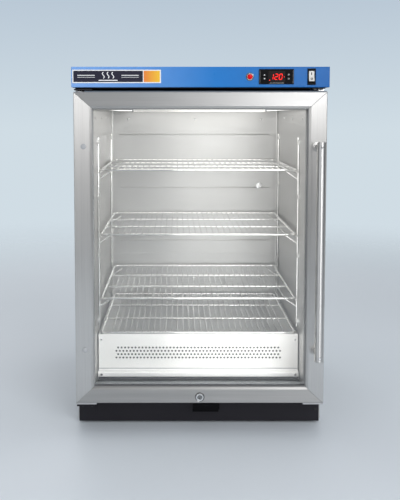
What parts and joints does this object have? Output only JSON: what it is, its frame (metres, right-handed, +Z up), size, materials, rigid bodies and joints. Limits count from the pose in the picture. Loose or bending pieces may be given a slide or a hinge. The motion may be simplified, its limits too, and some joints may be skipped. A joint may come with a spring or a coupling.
{
  "type": "hot towel cabinet",
  "caption": "Undercounter towel warming cabinet with a framed glass door, vertical bar handle, wire shelves, heated fan-blown base and a control head with thermostat and switch.",
  "frame": {"origin": "middle of the footprint, on the floor", "axes": "+X to the right of someone facing the door, +Y to the rear, +Z up"},
  "size_m": [0.6, 0.6479, 0.87],
  "materials": {
    "base_frame": "satin",
    "bottom_rack": "satin",
    "control_fascia": "gloss",
    "controller_housing": "matte",
    "controller_window": "gloss",
    "door_corner_strip": "satin",
    "door_gasket": "matte",
    "door_inner_frame": "matte",
    "door_rail_bottom": "satin",
    "door_rail_top": "satin",
    "door_stile_left": "satin",
    "door_stile_right": "satin",
    "fan_frame": "matte",
    "fan_rotor": "matte",
    "foot_front_left": "satin",
    "foot_front_right": "satin",
    "foot_rear_left": "satin",
    "foot_rear_right": "satin",
    "front_breaker_frame": "matte",
    "glass_spacer": "satin",
    "handle_bar": "satin",
    "handle_post_lower": "satin",
    "handle_post_upper": "satin",
    "heater_cover": "satin",
    "heating_element": "satin",
    "hinge_bush_lower": "satin",
    "hinge_bush_upper": "satin",
    "inner_glass": "gloss",
    "inner_liner": "satin",
    "insulation_blanket": "matte",
    "interior_lamp": "satin",
    "key_down": "satin",
    "key_mode": "satin",
    "key_set": "satin",
    "key_up": "satin",
    "kick_plate": "satin",
    "left_shelf_rack": "satin",
    "left_side_panel": "satin",
    "lock_body": "gloss",
    "lock_plug": "gloss",
    "lock_strike": "satin",
    "lower_hinge_bracket": "satin",
    "nameplate": "gloss",
    "outer_glass": "gloss",
    "pilot_lamp_bezel": "gloss",
    "pilot_lamp_lens": "gloss",
    "plug_cap_lower": "satin",
    "plug_cap_upper": "satin",
    "power_inlet": "matte",
    "rear_panel": "satin",
    "right_shelf_rack": "satin",
    "right_side_panel": "satin",
    "rocker_bezel": "matte",
    "rocker_paddle": "satin",
    "shelf_lower": "satin",
    "shelf_middle": "satin",
    "shelf_upper": "satin",
    "temperature_sensor": "gloss",
    "top_cover": "gloss",
    "upper_hinge_bracket": "satin"
  },
  "bodies": {
    "cabinet": {"left_side_panel": "left_side_panel", "right_side_panel": "right_side_panel", "inner_liner": "inner_liner", "heater_cover": "heater_cover", "upper_hinge_bracket": "upper_hinge_bracket", "rear_panel": "rear_panel", "base_frame": "base_frame", "heating_element": "heating_element", "left_shelf_rack": "left_shelf_rack", "right_shelf_rack": "right_shelf_rack", "pilot_lamp_bezel": "pilot_lamp_bezel", "temperature_sensor": "temperature_sensor", "top_cover": "top_cover", "control_fascia": "control_fascia", "kick_plate": "kick_plate", "lower_hinge_bracket": "lower_hinge_bracket", "lock_strike": "lock_strike", "insulation_blanket": "insulation_blanket", "front_breaker_frame": "front_breaker_frame", "fan_frame": "fan_frame", "controller_housing": "controller_housing", "rocker_bezel": "rocker_bezel", "power_inlet": "power_inlet", "nameplate": "nameplate", "controller_window": "controller_window", "pilot_lamp_lens": "pilot_lamp_lens", "interior_lamp": "interior_lamp"},
    "door": {"door_rail_top": "door_rail_top", "door_rail_bottom": "door_rail_bottom", "door_stile_left": "door_stile_left", "door_stile_right": "door_stile_right", "outer_glass": "outer_glass", "inner_glass": "inner_glass", "glass_spacer": "glass_spacer", "door_inner_frame": "door_inner_frame", "door_gasket": "door_gasket", "handle_bar": "handle_bar", "handle_post_upper": "handle_post_upper", "handle_post_lower": "handle_post_lower", "plug_cap_upper": "plug_cap_upper", "plug_cap_lower": "plug_cap_lower", "lock_body": "lock_body", "hinge_bush_upper": "hinge_bush_upper", "hinge_bush_lower": "hinge_bush_lower", "door_corner_strip": "door_corner_strip"},
    "lock": {"lock_plug": "lock_plug"},
    "rocker": {"rocker_paddle": "rocker_paddle"},
    "button_up": {"key_up": "key_up"},
    "button_down": {"key_down": "key_down"},
    "button_mode": {"key_mode": "key_mode"},
    "button_set": {"key_set": "key_set"},
    "upper_shelf": {"shelf_upper": "shelf_upper"},
    "middle_shelf": {"shelf_middle": "shelf_middle"},
    "lower_shelf": {"shelf_lower": "shelf_lower"},
    "base_rack": {"bottom_rack": "bottom_rack"},
    "fan": {"fan_rotor": "fan_rotor"},
    "front_left_foot": {"foot_front_left": "foot_front_left"},
    "front_right_foot": {"foot_front_right": "foot_front_right"},
    "rear_left_foot": {"foot_rear_left": "foot_rear_left"},
    "rear_right_foot": {"foot_rear_right": "foot_rear_right"}
  },
  "joints": [
    {"name": "door_hinge", "type": "hinge", "parent": "cabinet", "child": "door", "pos_m": [-0.2835, -0.246, 0.4415], "axis": [0, 0, -1], "range_deg": [0, 110]},
    {"name": "lock_turn", "type": "hinge", "parent": "door", "child": "lock", "pos_m": [0, -0.255, 0.086], "axis": [0, 1, 0], "range_deg": [0, 90]},
    {"name": "rocker_tip", "type": "hinge", "parent": "cabinet", "child": "rocker", "pos_m": [0.2575, -0.2605, 0.8469], "axis": [1, 0, 0], "range_deg": [0, 20]},
    {"name": "press_up", "type": "slide", "parent": "cabinet", "child": "button_up", "axis": [0, 1, 0], "range_m": [0, 0.0008], "stiffness_N_per_m": 300, "springref_m": -0.0005},
    {"name": "press_down", "type": "slide", "parent": "cabinet", "child": "button_down", "axis": [0, 1, 0], "range_m": [0, 0.0008], "stiffness_N_per_m": 300, "springref_m": -0.0005},
    {"name": "press_mode", "type": "slide", "parent": "cabinet", "child": "button_mode", "axis": [0, 1, 0], "range_m": [0, 0.0008], "stiffness_N_per_m": 300, "springref_m": -0.0005},
    {"name": "press_set", "type": "slide", "parent": "cabinet", "child": "button_set", "axis": [0, 1, 0], "range_m": [0, 0.0008], "stiffness_N_per_m": 300, "springref_m": -0.0005},
    {"name": "upper_shelf_slide", "type": "slide", "parent": "cabinet", "child": "upper_shelf", "axis": [0, -1, 0], "range_m": [0, 0.05]},
    {"name": "middle_shelf_slide", "type": "slide", "parent": "cabinet", "child": "middle_shelf", "axis": [0, -1, 0], "range_m": [0, 0.05]},
    {"name": "lower_shelf_slide", "type": "slide", "parent": "cabinet", "child": "lower_shelf", "axis": [0, -1, 0], "range_m": [0, 0.05]},
    {"name": "base_rack_slide", "type": "slide", "parent": "cabinet", "child": "base_rack", "axis": [0, -1, 0], "range_m": [0, 0.05]},
    {"name": "fan_spin", "type": "hinge", "parent": "cabinet", "child": "fan", "pos_m": [0, 0.15, 0.19], "axis": [0, 0, 1], "continuous": true},
    {"name": "front_left_foot_height", "type": "slide", "parent": "cabinet", "child": "front_left_foot", "axis": [0, 0, -1], "range_m": [0, 0.012]},
    {"name": "front_right_foot_height", "type": "slide", "parent": "cabinet", "child": "front_right_foot", "axis": [0, 0, -1], "range_m": [0, 0.012]},
    {"name": "rear_left_foot_height", "type": "slide", "parent": "cabinet", "child": "rear_left_foot", "axis": [0, 0, -1], "range_m": [0, 0.012]},
    {"name": "rear_right_foot_height", "type": "slide", "parent": "cabinet", "child": "rear_right_foot", "axis": [0, 0, -1], "range_m": [0, 0.012]}
  ]
}
